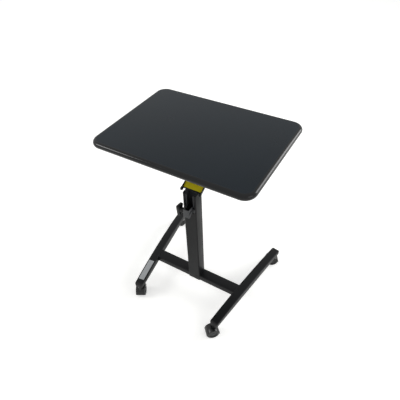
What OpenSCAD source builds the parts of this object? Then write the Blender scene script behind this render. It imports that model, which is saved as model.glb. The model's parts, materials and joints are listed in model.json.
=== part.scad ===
// Height-adjustable work table on casters.
// A slab top rides on an open-fronted channel that slides in a slotted column. The column stands on a
// crossbar between two splayed, arched legs. A wing knob turns a cam that brakes the channel.
// X runs along the table's long side, -Y is the front, Z is up from the floor.

/* [Table top] */
// Length of the table top, left to right
table_length = 600; // [460:5:800]
// Depth of the table top, front to back
table_depth = 440; // [320:5:520]
// Thickness of the table top
table_thickness = 24; // [18:1:32]
// Radius of the table top's corners, seen from above
table_corner_r = 42; // [36:1:90]
// Height of the table's surface above the floor at its lowest setting
table_height = 800; // [720:5:900]
// How far the middle of the table top lies behind the crossbar's middle
table_setback = 57; // [45:1:80]
// Depth of the edging's tongue in the board
tongue_depth = 6; // [4:0.5:10]
// Thickness of the edging's tongue
tongue_thickness = 3; // [2:0.5:5]

/* [Head] */
// Width of the head bracket over its side plates
head_width = 84; // [82:1:110]
// Thickness of the head bracket's plates
head_t = 3; // [2:0.5:5]
// Slope of the label plate
head_slope = 27; // [20:1:35]
// Depth of the label plate, measured level
head_run = 31.5; // [28:0.5:40]
// From the column's front face back to the label plate's front edge
head_inset = 19.5; // [18:0.5:23]
// Depth of the side plates at their top
side_top_depth = 74; // [50:1:95]
// Depth of the side plates behind the web at their foot
side_foot_depth = 12; // [8:1:24]
// Size of the mounting plate along X
mount_plate_length = 180; // [130:5:240]
// Size of the mounting plate along Y
mount_plate_depth = 150; // [130:5:200]
// Radius of the mounting plate's corners
mount_plate_r = 10; // [4:1:20]
// From the mounting plate's edge to its screws
screw_inset = 14; // [10:1:20]
// Radius of a screw's shank
screw_r = 2; // [1.5:0.25:3]
// Radius of a screw's head
screw_head_r = 4.5; // [4:0.25:6]
// Height of a screw's head
screw_head_h = 2.6; // [2:0.2:4]
// How far a screw goes into the board
screw_bite = 15; // [8:1:16]
// Radius of a head bolt's shank
bolt_r = 4; // [3:0.5:4.5]
// Radius of a head bolt's head
bolt_head_r = 6.5; // [5.5:0.5:8]
// Height of a head bolt's head
bolt_head_h = 2; // [2:0.5:6]
// How far a head bolt's tip stands out of its tab
bolt_tip = 1; // [0.5:0.5:3]
// Radius of the lugs and tabs that the head bolts join
lug_r = 7.5; // [7:0.5:10]
// Width of the head's label
head_label_width = 76; // [50:1:76]
// Length of the head's label, up the slope
head_label_length = 27; // [12:1:29]
// Bare strip between the label plate's front edge and the label
head_label_margin = 5; // [2:1:8]
// Thickness of both labels
label_t = 0.3; // [0.2:0.1:0.5]

/* [Column] */
// Width of the column along X
column_width = 56; // [50:1:64]
// Depth of the column along Y
column_depth = 46; // [40:1:52]
// Wall of the column
column_wall = 2; // [1.5:0.25:3]
// Radius of the column's outer corners
column_r = 4; // [3.5:0.5:6]
// Height of the column's top above the floor
column_top = 579; // [500:1:620]
// Width of the slot in the column's front wall
slot_width = 38; // [35:1:41]
// Room between the column's wall and the channel
glide_space = 2; // [1.5:0.25:3]
// Wall of the channel
channel_wall = 2; // [1.5:0.25:3]
// Radius of the channel's outer corners
channel_r = 3; // [2.5:0.5:4]
// Width of the channel's open front
channel_opening = 26; // [24:1:30]
// Height of the bush in the column's mouth
bush_height = 40; // [20:1:50]
// How far the bush's top lies below the column's top
bush_drop = 1; // [0.5:0.5:4]
// Height of the glide's base under the channel
glide_base = 10; // [6:1:16]
// Height of the glide's core inside the channel
glide_core = 26; // [10:1:40]

/* [Lock] */
// From the column's top down to the lock's axis
lock_drop = 74; // [64:1:200]
// From the column's front face to the lock's axis
lock_reach = 15; // [13:0.5:18]
// Width of the bracket over its cheeks
bracket_width = 26; // [25:0.5:30]
// Thickness of the bracket's sheet
bracket_t = 2.5; // [1.5:0.25:3]
// How far the bracket's front stands out from the column
bracket_depth = 27; // [26:0.5:34]
// From the lock's axis up to the bracket's top
bracket_up = 18; // [14:1:24]
// From the lock's axis down to the foot of the bracket's front
bracket_down = 21; // [16:1:28]
// From the lock's axis down to the bracket's foot at the column
bracket_heel = 9; // [9:1:12]
// Width of each of the bracket's feet
foot_width = 11; // [9:0.5:11.5]
// Half the height of the bracket's feet
foot_half_height = 8; // [6:1:9]
// Radius of the lock's shaft
shaft_r = 4; // [3:0.5:4]
// Radius of the shaft's head
shaft_head_r = 7; // [6:0.5:9]
// Thickness of the shaft's head
shaft_head_t = 2.5; // [1.5:0.5:4]
// Radius of the cam
cam_r = 8; // [7.5:0.25:8.5]
// How far the cam is off its shaft's axis
cam_throw = 1.5; // [1:0.1:1.8]
// Width of the cam
cam_width = 10; // [6:0.5:11]
// Width of the shoe's brake plate
shoe_width = 34; // [30:0.5:34]
// Half the height of the shoe's brake plate
shoe_half_height = 10; // [8:0.5:11]
// Thickness of the shoe's brake plate
shoe_plate_t = 2; // [1.5:0.1:2.2]
// Half the height of the shoe's block and arms
shoe_arm_half = 7; // [6.5:0.5:8]
// How far the shoe draws back when the lock is released
shoe_travel = 1.2; // [0.8:0.1:1.4]
// Length of the knob's wing
wing_length = 50; // [44:1:70]
// Width of the wing at its top
wing_top_width = 34; // [30:1:40]
// Width of the wing at its foot
wing_foot_width = 16; // [14:1:24]
// Thickness of the knob's wing
wing_t = 14; // [12:1:18]
// Radius of the wing's corners
wing_r = 6; // [3:0.5:6.5]
// From the lock's axis up to the wing's top
wing_rise = 21; // [18:1:24]
// Lean of the wing's foot toward the front when the lock is on
wing_lean = 8; // [0:1:25]
// Gap between the wing and the column's side
wing_gap = 1; // [0.5:0.25:4]
// Radius of the knob's hub
hub_r = 10; // [8:0.5:11]

/* [Base] */
// Underside of the legs and the crossbar above the floor
base_height = 70; // [66:1:90]
// Depth of the crossbar along Y
bar_depth = 46; // [38:1:60]
// Height of the crossbar
bar_height = 30; // [20:1:32]
// Wall of the crossbar and the legs
base_wall = 2; // [1.5:0.25:3]
// Half the distance between the legs' middles
leg_spread = 226; // [180:1:260]
// Angle of each leg from straight back
leg_splay = 8.5; // [0:0.5:14]
// Length of a leg with its end caps
leg_length = 494; // [420:2:600]
// Width of a leg
leg_width = 36; // [30:1:46]
// Height of a leg at its ends
leg_end_height = 21.5; // [18:0.5:26]
// Height of a leg at its middle
leg_mid_height = 34; // [33:1:40]
// How far the crossbar lies in front of the legs' middles
bar_forward = 53; // [20:1:60]
// Thickness of an end cap's visible part
cap_t = 10; // [9:0.5:26]
// Radius of an end cap's outer corners, seen from above
cap_r = 8; // [4:0.5:12]
// Radius of an end cap's upper edge, seen from the side
nose_r = 8; // [4:0.5:9]
// Length of an end cap's plug
plug_length = 26; // [20:1:40]
// Width of the leg's label
leg_label_width = 25; // [15:1:30]
// Length of the leg's label
leg_label_length = 105; // [60:1:120]
// From the leg's front end back to its label
leg_label_inset = 30; // [29:1:60]

/* [Casters] */
// Diameter of a wheel
wheel_d = 50; // [40:1:54]
// Width of a wheel
wheel_width = 16.5; // [14:0.5:20]
// Radius of a wheel's rounded edges
wheel_edge_r = 3; // [1:0.5:5]
// Radius of the dish in a wheel's outer face
dish_r = 17; // [10:0.5:19]
// Depth of the dish
dish_depth = 3; // [2:0.5:5]
// Radius of an axle
axle_r = 3; // [2:0.5:4]
// Radius of an axle's heads
axle_head_r = 6; // [5:0.5:8]
// Thickness of an axle's heads
axle_head_t = 1.2; // [0.8:0.1:1.6]
// From a caster's stem back to its axle
trail = 10; // [7:0.5:14]
// Thickness of a hood's rib between the wheels
rib_t = 7; // [5:0.5:10]
// Thickness of a hood's shell
shell_t = 2.5; // [1.5:0.25:4]
// Radius of a hood's boss round the stem
boss_r = 9; // [8:0.5:11]
// Radius of a caster's stem
stem_r = 5; // [4:0.5:5.5]
// Radius of the collar on a stem
collar_r = 9; // [7:0.5:10]
// Thickness of the collar
collar_t = 2.5; // [1.5:0.5:4]
// From a leg's end to the stem
stem_inset = 10; // [9:0.5:20]
// How far a stem goes up into the leg
stem_bite = 14; // [8:0.5:15]
// Height of a stem's end above the wheels' hollow in the hood
stem_floor = 1.5; // [1:0.5:3]
// How far the front left caster is turned to the left from trailing to the front
front_left_turn = 150; // [0:5:180]
// How far the front right caster is turned to the left from trailing to the front
front_right_turn = 45; // [0:5:180]
// How far the rear left caster is turned to the left from trailing to the front
rear_left_turn = 90; // [0:5:180]
// How far the rear right caster is turned to the left from trailing to the front
rear_right_turn = 60; // [0:5:180]

/* [Fits] */
// Gap beside faces that slide or turn past each other
run_gap = 0.3; // [0.2:0.05:0.5]
// Radial gap of a shaft in its bore
bore_gap = 0.05; // [0.02:0.01:0.1]
// Gap beside pieces that sit still in each other
seat_gap = 0.15; // [0.1:0.05:0.3]
// Gap at each side of a wheel
wheel_gap = 0.5; // [0.3:0.1:0.8]

/* [Hidden] */
$fn = 96;
// Facets of the long, flat arch of a leg
ARCH_FN = 1440;
// Every cut runs this far past what it cuts
overrun = 5;
BOARD_BLACK = "#2b2d31";
STEEL_BLACK = "#2f2e2f";
STEEL_GREY = "#5b5c5e";
STEEL_BARE = "#a8abad";
STEEL_DARK = "#3c3d3f";
PLASTIC_BLACK = "#1d1d1e";
PLASTIC_GREY = "#8a8c8e";
LABEL_YELLOW = "#c8ac1e";
LABEL_SILVER = "#a9abac";

// Legs: the box of the whole table is centred on the origin from front to back
leg_reach = leg_length / 2 - stem_inset;
wheels_half = rib_t / 2 + wheel_gap + wheel_width;
hollow_r = wheel_d / 2 + run_gap + wheel_gap;
hood_r = hollow_r + shell_t;
stem_reach = leg_reach * cos(leg_splay);
leg_end_reach = (leg_length / 2 - cap_r) * cos(leg_splay) + (leg_width / 2 - cap_r) * sin(leg_splay) + cap_r;
front_reach = max(leg_end_reach, stem_reach + hood_reach(front_left_turn, -1),
                  stem_reach + hood_reach(front_right_turn, -1));
rear_reach = max(leg_end_reach, stem_reach + hood_reach(rear_left_turn, 1),
                 stem_reach + hood_reach(rear_right_turn, 1));
leg_y = (front_reach - rear_reach) / 2;
leg_tube = leg_length - 2 * cap_t;
leg_rise = leg_mid_height - leg_end_height;
arch_r = ((leg_tube / 2) * (leg_tube / 2) + leg_rise * leg_rise) / (2 * leg_rise);
plug_height = leg_end_height - 2 * base_wall - 2 * seat_gap;

// Crossbar and column
bar_y = leg_y - bar_forward;
bar_top = base_height + bar_height;
bar_leg_x = leg_spread - bar_forward * tan(leg_splay);
front_y = bar_y - bar_depth / 2 - column_wall;
column_y = front_y + column_depth / 2;
inside_r = column_r - column_wall;
channel_width = column_width - 2 * (column_wall + glide_space);
channel_depth = column_depth - 2 * (column_wall + glide_space);
channel_foot = bar_top + run_gap + glide_base;

// Table top and head
board_under = table_height - table_thickness;
board_mid = table_height - table_thickness / 2;
band_r = table_thickness / 2;
core_r = table_corner_r - band_r;
straight_x = table_length - 2 * table_corner_r;
straight_y = table_depth - 2 * table_corner_r;
table_y = bar_y + table_setback;
plate_under = board_under - head_t;
bolt_z = column_top + run_gap + bolt_r;
edge_y = front_y + head_inset;
edge_z = column_top + run_gap + head_t / cos(head_slope) + channel_wall / 2;
bolt_y = edge_y - bolt_r - run_gap;
web_y = edge_y + head_run;
web_top_z = edge_z + head_run * tan(head_slope);
web_foot_z = web_top_z - head_t / cos(head_slope);

// Lock
lock_height = column_top - lock_drop;
lock_y = front_y - lock_reach;
slot_floor = lock_height - shoe_half_height - overrun;
cheek_x = bracket_width / 2;
cheek_inside = cheek_x - bracket_t;
channel_front_y = column_y - channel_depth / 2;
shoe_back_y = channel_front_y - run_gap;
shoe_plate_y = shoe_back_y - shoe_plate_t;
shoe_nose_y = lock_y + cam_throw + cam_r + run_gap;
shoe_half = cheek_inside - run_gap - bracket_t / 4;
arm_slot_r = shaft_r + run_gap;
arm_end_y = lock_y - arm_slot_r - bracket_t;
hub_x = -cheek_x - wheel_gap;
wing_x = -column_width / 2 - wing_gap;
shaft_end_x = wing_x - wing_t * 3 / 4;

// Casters
axle_z = wheel_d / 2;
boss_top = base_height - collar_t - run_gap;
hollow_top = axle_z + sqrt(hollow_r * hollow_r - (trail - stem_r) * (trail - stem_r));
stem_foot = hollow_top + stem_floor;

// How far a turned caster's hood reaches past its stem: end is 1 to the rear and -1 to the front
function hood_reach(turn, end) =
    -end * trail * cos(turn) + hood_r * abs(cos(turn)) + wheels_half * abs(sin(turn));

// A rectangle w by d with round corners, centred
module rounded(w, d, r) {
    square([w - 2 * r, d], center = true);
    square([w, d - 2 * r], center = true);
    for (x = [-1, 1], y = [-1, 1])
        translate([x * (w / 2 - r), y * (d / 2 - r)]) circle(r);
}

// Extrudes an outline drawn in Y and Z across X, centred
module across(w) {
    translate([-w / 2, 0, 0]) rotate([90, 0, 90]) linear_extrude(w) children();
}

// A rod along X from x0 to x1
module rod(r, x0, x1) {
    translate([x0, 0, 0]) rotate([0, 90, 0]) cylinder(r = r, h = x1 - x0);
}

// Carries an outline round the board's edge; the outline's X points outward
module round_edge() {
    for (side = [0, 1]) {
        rotate(180 * side) translate([-straight_x / 2, table_depth / 2 - band_r, 0])
            rotate([90, 0, 90]) linear_extrude(straight_x) children();
        rotate(90 + 180 * side) translate([-straight_y / 2, table_length / 2 - band_r, 0])
            rotate([90, 0, 90]) linear_extrude(straight_y) children();
    }
    for (quarter = [0:3])
        translate([(quarter == 0 || quarter == 3 ? 1 : -1) * straight_x / 2,
                   (quarter < 2 ? 1 : -1) * straight_y / 2, 0])
            rotate(90 * quarter) rotate_extrude(angle = 90) translate([core_r, 0]) children();
}

// Places its children at each screw of the mounting plate
module at_screws() {
    for (x = [-1, 1], y = [-1, 0, 1])
        translate([x * (mount_plate_length / 2 - screw_inset),
                   table_y + y * (mount_plate_depth / 2 - screw_inset), 0]) children();
}

module table_core() {
    color(BOARD_BLACK) difference() {
        translate([0, table_y, board_under]) linear_extrude(table_thickness)
            rounded(table_length - 2 * band_r, table_depth - 2 * band_r, core_r);
        translate([0, table_y, board_mid]) round_edge()
            translate([-tongue_depth - seat_gap, -tongue_thickness / 2 - seat_gap])
                square([tongue_depth + seat_gap + overrun, tongue_thickness + 2 * seat_gap]);
        at_screws() translate([0, 0, board_under - overrun])
            cylinder(r = screw_r + seat_gap, h = screw_bite + seat_gap + overrun);
    }
}

module edge_band() {
    color(PLASTIC_BLACK) translate([0, table_y, board_mid]) round_edge() {
        intersection() {
            circle(band_r);
            translate([0, -band_r]) square([band_r, 2 * band_r]);
        }
        translate([-tongue_depth, -tongue_thickness / 2])
            square([tongue_depth + band_r / 2, tongue_thickness]);
    }
}

module mounting_plate() {
    color(STEEL_BLACK) difference() {
        translate([0, table_y, plate_under]) linear_extrude(head_t)
            rounded(mount_plate_length, mount_plate_depth, mount_plate_r);
        at_screws() translate([0, 0, plate_under - overrun])
            cylinder(r = screw_r + seat_gap, h = head_t + 2 * overrun);
    }
}

module plate_screws() {
    color(STEEL_BARE) at_screws() {
        translate([0, 0, plate_under - screw_head_h]) cylinder(r = screw_head_r, h = screw_head_h);
        translate([0, 0, plate_under - screw_head_h / 2])
            cylinder(r = screw_r, h = screw_head_h / 2 + head_t + screw_bite);
    }
}

// The label plate, with a tab at each end that lies against the side plate's lug
module head_plate() {
    color(STEEL_BLACK) difference() {
        union() {
            across(head_width - 2 * head_t) polygon([
                [edge_y, edge_z], [web_y, web_top_z], [web_y, web_foot_z],
                [edge_y + head_t * sin(head_slope), edge_z - head_t * cos(head_slope)]
            ]);
            for (side = [-1, 1]) translate([side * (head_width - 3 * head_t) / 2, bolt_y, bolt_z])
                rod(lug_r, -head_t / 2, head_t / 2);
        }
        translate([0, bolt_y, bolt_z]) rod(bolt_r + seat_gap, -head_width, head_width);
    }
}

module head_web() {
    color(STEEL_BLACK) across(head_width - 2 * head_t)
        translate([web_y, web_foot_z]) square([head_t, plate_under - web_foot_z]);
}

module head_side(side) {
    outside_x = side * head_width / 2;
    color(STEEL_BLACK) difference() {
        union() {
            translate([outside_x - side * head_t / 2, 0, 0]) across(head_t) polygon([
                [bolt_y, bolt_z + lug_r / 2], [edge_y, bolt_z + lug_r / 2],
                [web_y, web_top_z + head_t], [web_y, plate_under],
                [web_y + side_top_depth, plate_under], [web_y + side_foot_depth, web_top_z],
                [bolt_y, bolt_z - lug_r * 3 / 4]
            ]);
            translate([outside_x - side * head_t / 2, bolt_y, bolt_z]) rod(lug_r, -head_t / 2, head_t / 2);
        }
        translate([0, bolt_y, bolt_z]) rod(bolt_r + seat_gap, -head_width, head_width);
    }
}

module head_bolts() {
    face_x = head_width / 2;
    color(STEEL_BLACK) for (side = [0, 1]) mirror([side, 0, 0]) translate([0, bolt_y, bolt_z]) {
        rod(bolt_r, face_x - 2 * head_t - bolt_tip, face_x + bolt_head_h / 2);
        rod(bolt_head_r, face_x, face_x + bolt_head_h);
    }
}

module head_label() {
    color(LABEL_YELLOW) across(head_label_width) translate([edge_y, edge_z]) rotate(head_slope)
        translate([head_label_margin, 0]) square([head_label_length, label_t]);
}

module channel_section() {
    difference() {
        rounded(channel_width, channel_depth, channel_r);
        square([channel_width - 2 * channel_wall, channel_depth - 2 * channel_wall], center = true);
        translate([-channel_opening / 2, -channel_depth / 2 - overrun])
            square([channel_opening, channel_wall + 2 * overrun]);
    }
}

module inner_column() {
    color(STEEL_GREY) difference() {
        translate([0, column_y, channel_foot]) linear_extrude(web_top_z - channel_foot) channel_section();
        translate([0, edge_y, edge_z]) rotate([head_slope, 0, 0])
            translate([-column_width, -column_depth * 2, -head_t])
                cube([column_width * 2, column_depth * 4, column_depth * 2]);
    }
}

module foot_glide() {
    inside_w = column_width - 2 * column_wall - 2 * run_gap;
    inside_d = column_depth - 2 * column_wall - 2 * run_gap;
    core_w = channel_width - 2 * channel_wall - 2 * seat_gap;
    core_d = channel_depth - 2 * channel_wall - 2 * seat_gap;
    color(PLASTIC_GREY) translate([0, column_y, bar_top + run_gap]) {
        linear_extrude(glide_base) rounded(inside_w, inside_d, inside_r);
        translate([-core_w / 2, -core_d / 2, glide_base / 2])
            cube([core_w, core_d, glide_base / 2 + glide_core]);
    }
}

module outer_column() {
    color(STEEL_BLACK) difference() {
        union() {
            translate([0, column_y, bar_top]) linear_extrude(column_top - bar_top)
                rounded(column_width, column_depth, column_r);
            translate([0, column_y, base_height]) linear_extrude(bar_height + bar_height / 2)
                intersection() {
                    rounded(column_width, column_depth, column_r);
                    translate([-column_width / 2, -column_depth / 2]) square([column_width, column_wall]);
                }
        }
        translate([0, column_y, bar_top - overrun]) linear_extrude(column_top - bar_top + 2 * overrun)
            rounded(column_width - 2 * column_wall, column_depth - 2 * column_wall, inside_r);
        translate([-slot_width / 2, front_y - overrun, slot_floor])
            cube([slot_width, column_wall + 2 * overrun, column_top - slot_floor + overrun]);
    }
}

module top_bush() {
    room = 2 * (column_wall + seat_gap);
    color(PLASTIC_BLACK) translate([0, column_y, column_top - bush_drop - bush_height])
        linear_extrude(bush_height) difference() {
            rounded(column_width - room, column_depth - room, inside_r);
            rounded(channel_width + 2 * run_gap, channel_depth + 2 * run_gap, channel_r);
            translate([-slot_width / 2, -column_depth / 2 - overrun])
                square([slot_width, column_depth / 2 + overrun]);
        }
}

module clamp_bracket() {
    color(STEEL_GREY) difference() {
        union() {
            across(bracket_width) polygon([
                [front_y, lock_height + bracket_up], [front_y - bracket_depth, lock_height + bracket_up],
                [front_y - bracket_depth, lock_height - bracket_down],
                [front_y - bracket_depth + 2 * bracket_t, lock_height - bracket_down],
                [front_y, lock_height - bracket_heel]
            ]);
            translate([-cheek_x - foot_width, front_y - bracket_t, lock_height - foot_half_height])
                cube([bracket_width + 2 * foot_width, bracket_t, 2 * foot_half_height]);
        }
        translate([-cheek_inside, front_y - bracket_depth + bracket_t, lock_height - bracket_down - overrun])
            cube([2 * cheek_inside, bracket_depth - bracket_t + overrun,
                  bracket_up + bracket_down + 2 * overrun]);
        translate([0, lock_y, lock_height]) rod(shaft_r + bore_gap, -cheek_x - overrun, cheek_x + overrun);
    }
}

// The wing from the side: wide at its top, narrow at its foot, with round corners
module wing_outline() {
    top = [wing_top_width / 2 - wing_r, wing_rise - wing_r];
    foot = [wing_foot_width / 2 - wing_r, wing_rise - wing_length + wing_r];
    taper = atan((top[0] - foot[0]) / (top[1] - foot[1]));
    side = [wing_r * cos(taper), -wing_r * sin(taper)];
    rim = [top + [0, wing_r], top + side, foot + side, foot - [0, wing_r]];
    polygon([for (p = rim) p, for (i = [3:-1:0]) [-rim[i][0], rim[i][1]]]);
    for (corner = [top, foot], hand = [-1, 1])
        translate([hand * corner[0], corner[1]]) circle(wing_r);
}

module lock_knob() {
    color(PLASTIC_BLACK) translate([0, lock_y, lock_height]) difference() {
        union() {
            rod(hub_r, wing_x - wing_t / 2, hub_x);
            translate([wing_x - wing_t / 2, 0, 0]) rotate([-wing_lean, 0, 0]) across(wing_t) wing_outline();
        }
        rod(shaft_r + bore_gap, shaft_end_x - seat_gap, hub_x + overrun);
    }
}

module lock_shaft() {
    head_x = cheek_x + run_gap;
    color(STEEL_DARK) translate([0, lock_y, lock_height]) {
        rod(shaft_r, shaft_end_x, head_x + shaft_head_t / 2);
        rod(shaft_head_r, head_x, head_x + shaft_head_t);
    }
}

module lock_cam() {
    color(STEEL_DARK) translate([0, lock_y, lock_height]) difference() {
        translate([0, cam_throw, 0]) rod(cam_r, -cam_width / 2, cam_width / 2);
        rod(shaft_r + bore_gap, -cam_width, cam_width);
    }
}

module brake_shoe() {
    color(PLASTIC_BLACK) difference() {
        union() {
            translate([-shoe_width / 2, shoe_plate_y, lock_height - shoe_half_height])
                cube([shoe_width, shoe_plate_t, 2 * shoe_half_height]);
            translate([-shoe_half, shoe_nose_y, lock_height - shoe_arm_half])
                cube([2 * shoe_half, shoe_back_y - shoe_nose_y, 2 * shoe_arm_half]);
            for (side = [0, 1]) mirror([side, 0, 0])
                translate([cam_width / 2 + run_gap, arm_end_y, lock_height - shoe_arm_half])
                    cube([shoe_half - cam_width / 2 - run_gap, shoe_nose_y - arm_end_y + shoe_plate_t,
                          2 * shoe_arm_half]);
        }
        translate([0, lock_y, lock_height]) rod(arm_slot_r, -bracket_width, bracket_width);
        translate([0, lock_y + shoe_travel, lock_height]) rod(arm_slot_r, -bracket_width, bracket_width);
        translate([-bracket_width, lock_y, lock_height - arm_slot_r])
            cube([2 * bracket_width, shoe_travel, 2 * arm_slot_r]);
    }
}

// Stands its children on a leg: side is 1 for the right leg and -1 for the left one
module at_leg(side) {
    translate([side * leg_spread, leg_y, 0]) rotate(-side * leg_splay) children();
}

module crossbar() {
    color(STEEL_BLACK) difference() {
        translate([-bar_leg_x, bar_y - bar_depth / 2, base_height])
            cube([2 * bar_leg_x, bar_depth, bar_height]);
        translate([-leg_spread, bar_y - bar_depth / 2 + base_wall, base_height + base_wall])
            cube([2 * leg_spread, bar_depth - 2 * base_wall, bar_height - 2 * base_wall]);
        for (side = [-1, 1]) at_leg(side)
            translate([-leg_width / 2, -leg_length / 2, base_height - overrun])
                cube([leg_width, leg_length, bar_height + 2 * overrun]);
    }
}

// A leg's side view, drawn in by a margin
module leg_outline(margin, length) {
    intersection() {
        translate([-length / 2, margin]) square([length, leg_mid_height]);
        translate([0, leg_mid_height - arch_r]) circle(arch_r - margin, $fn = ARCH_FN);
    }
}

module leg(side) {
    color(STEEL_BLACK) at_leg(side) translate([0, 0, base_height]) difference() {
        across(leg_width) leg_outline(0, leg_tube);
        across(leg_width - 2 * base_wall) leg_outline(base_wall, leg_tube + 2 * overrun);
        for (end = [-1, 1]) translate([0, end * leg_reach, -overrun])
            cylinder(r = stem_r + seat_gap, h = base_wall + 2 * overrun);
    }
}

module leg_label() {
    label_y = leg_label_inset - leg_length / 2;
    color(LABEL_SILVER) at_leg(-1) translate([0, 0, base_height]) across(leg_label_width)
        intersection() {
            translate([label_y, 0]) square([leg_label_length, leg_mid_height * 2]);
            difference() {
                translate([0, leg_mid_height - arch_r]) circle(arch_r + seat_gap + label_t, $fn = ARCH_FN);
                translate([0, leg_mid_height - arch_r]) circle(arch_r + seat_gap, $fn = ARCH_FN);
            }
        }
}

// An end cap: end is 1 at the rear and -1 at the front
module end_cap(side, end) {
    plug_width = leg_width - 2 * base_wall - 2 * seat_gap;
    color(PLASTIC_BLACK) at_leg(side) translate([0, end * leg_tube / 2, base_height])
        rotate(end > 0 ? 0 : 180) difference() {
            union() {
                intersection() {
                    linear_extrude(leg_end_height) intersection() {
                        translate([0, cap_t - leg_width / 2]) rounded(leg_width, leg_width, cap_r);
                        translate([-leg_width / 2, 0]) square([leg_width, cap_t]);
                    }
                    across(leg_width + overrun) {
                        square([cap_t - nose_r, leg_end_height]);
                        square([cap_t, leg_end_height - nose_r]);
                        translate([cap_t - nose_r, leg_end_height - nose_r]) circle(nose_r);
                    }
                }
                translate([-plug_width / 2, -plug_length, base_wall + seat_gap])
                    cube([plug_width, plug_length + base_wall, plug_height]);
            }
            translate([0, cap_t - stem_inset, -overrun])
                cylinder(r = stem_r + seat_gap, h = stem_bite + seat_gap + overrun);
        }
}

module caster_stems() {
    color(STEEL_BARE) for (side = [-1, 1], end = [-1, 1]) at_leg(side)
        translate([0, end * leg_reach, 0]) {
            translate([0, 0, stem_foot]) cylinder(r = stem_r, h = base_height + stem_bite - stem_foot);
            translate([0, 0, base_height - collar_t]) cylinder(r = collar_r, h = collar_t);
        }
}

// Stands its children at a caster's axle, which runs along X
module at_caster(side, end) {
    turn = end < 0 ? (side < 0 ? front_left_turn : front_right_turn)
                   : (side < 0 ? rear_left_turn : rear_right_turn);
    translate([side * (leg_spread + end * leg_reach * sin(leg_splay)),
               leg_y + end * leg_reach * cos(leg_splay), 0])
        rotate(-turn) translate([0, -trail, axle_z]) children();
}

module hood(side, end) {
    width = 2 * wheels_half;
    color(PLASTIC_BLACK) at_caster(side, end) difference() {
        union() {
            intersection() {
                rod(hood_r, -width / 2, width / 2);
                translate([-width, -hood_r * 2, -axle_r]) cube([width * 2, hood_r * 4, hood_r * 2]);
            }
            rod(boss_r, -rib_t / 2, rib_t / 2);
            translate([0, trail, 0]) cylinder(r = boss_r, h = boss_top - axle_z);
        }
        for (hand = [0, 1]) mirror([hand, 0, 0]) rod(hollow_r, rib_t / 2, width);
        rod(axle_r + seat_gap, -width, width);
        translate([0, trail, stem_foot - axle_z - run_gap])
            cylinder(r = stem_r + bore_gap, h = boss_top - stem_foot + run_gap + overrun);
    }
}

module axle(side, end) {
    half = wheels_half - dish_depth + run_gap;
    color(STEEL_DARK) at_caster(side, end) {
        rod(axle_r, -half - axle_head_t / 2, half + axle_head_t / 2);
        rod(axle_head_r, half, half + axle_head_t);
        rod(axle_head_r, -half - axle_head_t, -half);
    }
}

// hand is -1 for the wheel at -X of the rib and 1 for the other
module wheel(side, end, hand) {
    color(PLASTIC_BLACK) at_caster(side, end) rotate([0, hand * 90, 0])
        translate([0, 0, rib_t / 2 + wheel_gap]) rotate_extrude() difference() {
            union() {
                translate([0, wheel_edge_r]) square([wheel_d / 2, wheel_width - 2 * wheel_edge_r]);
                square([wheel_d / 2 - wheel_edge_r, wheel_width]);
                for (z = [wheel_edge_r, wheel_width - wheel_edge_r])
                    translate([wheel_d / 2 - wheel_edge_r, z]) circle(wheel_edge_r);
            }
            translate([0, -overrun]) square([axle_r + bore_gap, wheel_width + 2 * overrun]);
            translate([0, wheel_width - dish_depth]) square([dish_r, dish_depth + overrun]);
        }
}

table_core();
edge_band();
mounting_plate();
plate_screws();
head_plate();
head_web();
head_side(-1);  // head_side_left
head_side(1);  // head_side_right
head_bolts();
head_label();
inner_column();
foot_glide();
outer_column();
top_bush();
clamp_bracket();
lock_knob();
lock_shaft();
lock_cam();
brake_shoe();
crossbar();
leg(-1);  // leg_left
leg(1);  // leg_right
leg_label();
end_cap(-1, -1);  // cap_front_left
end_cap(1, -1);  // cap_front_right
end_cap(-1, 1);  // cap_rear_left
end_cap(1, 1);  // cap_rear_right
caster_stems();
hood(-1, -1);  // hood_front_left
axle(-1, -1);  // axle_front_left
wheel(-1, -1, -1);  // wheel_front_left_a
wheel(-1, -1, 1);  // wheel_front_left_b
hood(1, -1);  // hood_front_right
axle(1, -1);  // axle_front_right
wheel(1, -1, -1);  // wheel_front_right_a
wheel(1, -1, 1);  // wheel_front_right_b
hood(-1, 1);  // hood_rear_left
axle(-1, 1);  // axle_rear_left
wheel(-1, 1, -1);  // wheel_rear_left_a
wheel(-1, 1, 1);  // wheel_rear_left_b
hood(1, 1);  // hood_rear_right
axle(1, 1);  // axle_rear_right
wheel(1, 1, -1);  // wheel_rear_right_a
wheel(1, 1, 1);  // wheel_rear_right_b
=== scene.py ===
# %% [markdown]
# # A work table on casters
#
# The object is a wheeled side table for a studio: a black slab top with a round edge, one slotted
# column with a wing knob, a crossbar between two splayed, arched legs, and four twin-wheel casters.
# The solids come in as a fixed frame. This lesson dresses them: pieces whose edges or curves the eye
# would miss are made again with soft edges, and the others keep their solid and get a finish.

# %% Load the frame
import json
import math

import bmesh
import bpy
from mathutils import Matrix, Vector


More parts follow.
